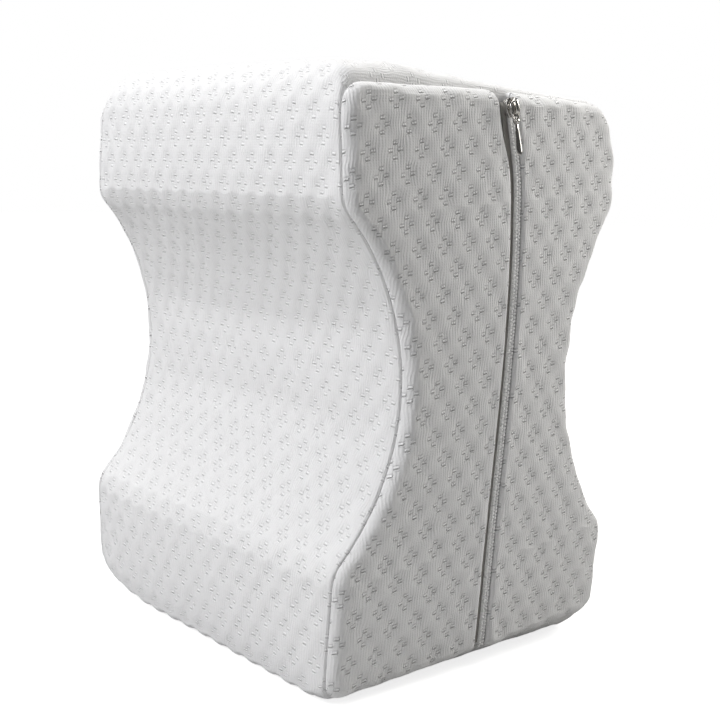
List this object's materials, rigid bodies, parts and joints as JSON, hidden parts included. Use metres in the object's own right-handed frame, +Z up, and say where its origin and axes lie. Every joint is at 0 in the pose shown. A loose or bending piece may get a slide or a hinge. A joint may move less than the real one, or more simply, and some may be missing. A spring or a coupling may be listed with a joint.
{
  "type": "orthopedic knee cushion",
  "caption": "Hourglass foam cushion with hollow sides for the legs, in a white padded knit cover that closes with a zip down one end.",
  "frame": {"origin": "centre of the bounding box on the floor, where the flat underside rests", "axes": "+Z up, X across the cushion from leg to leg, Y along the legs, with the zip in the end that faces -Y"},
  "size_m": [0.16, 0.2076, 0.2552],
  "materials": {
    "wrap_cloth": "white padded jacquard knit, soft and matte",
    "panel_cloth": "white padded jacquard knit, soft and matte",
    "zip_tape": "pale grey woven tape, matte",
    "zip_coil": "pale grey nylon coil, satin",
    "zip_metal": "polished nickel"
  },
  "bodies": {
    "root": {"cushion_body": "wrap_cloth", "back_panel": "panel_cloth", "front_panel_left": "panel_cloth", "front_panel_right": "panel_cloth", "zip_tape": "zip_tape", "zip_chain": "zip_coil", "zip_slider": "zip_metal", "zip_link": "zip_metal", "zip_pull": "zip_metal"}
  },
  "joints": []
}
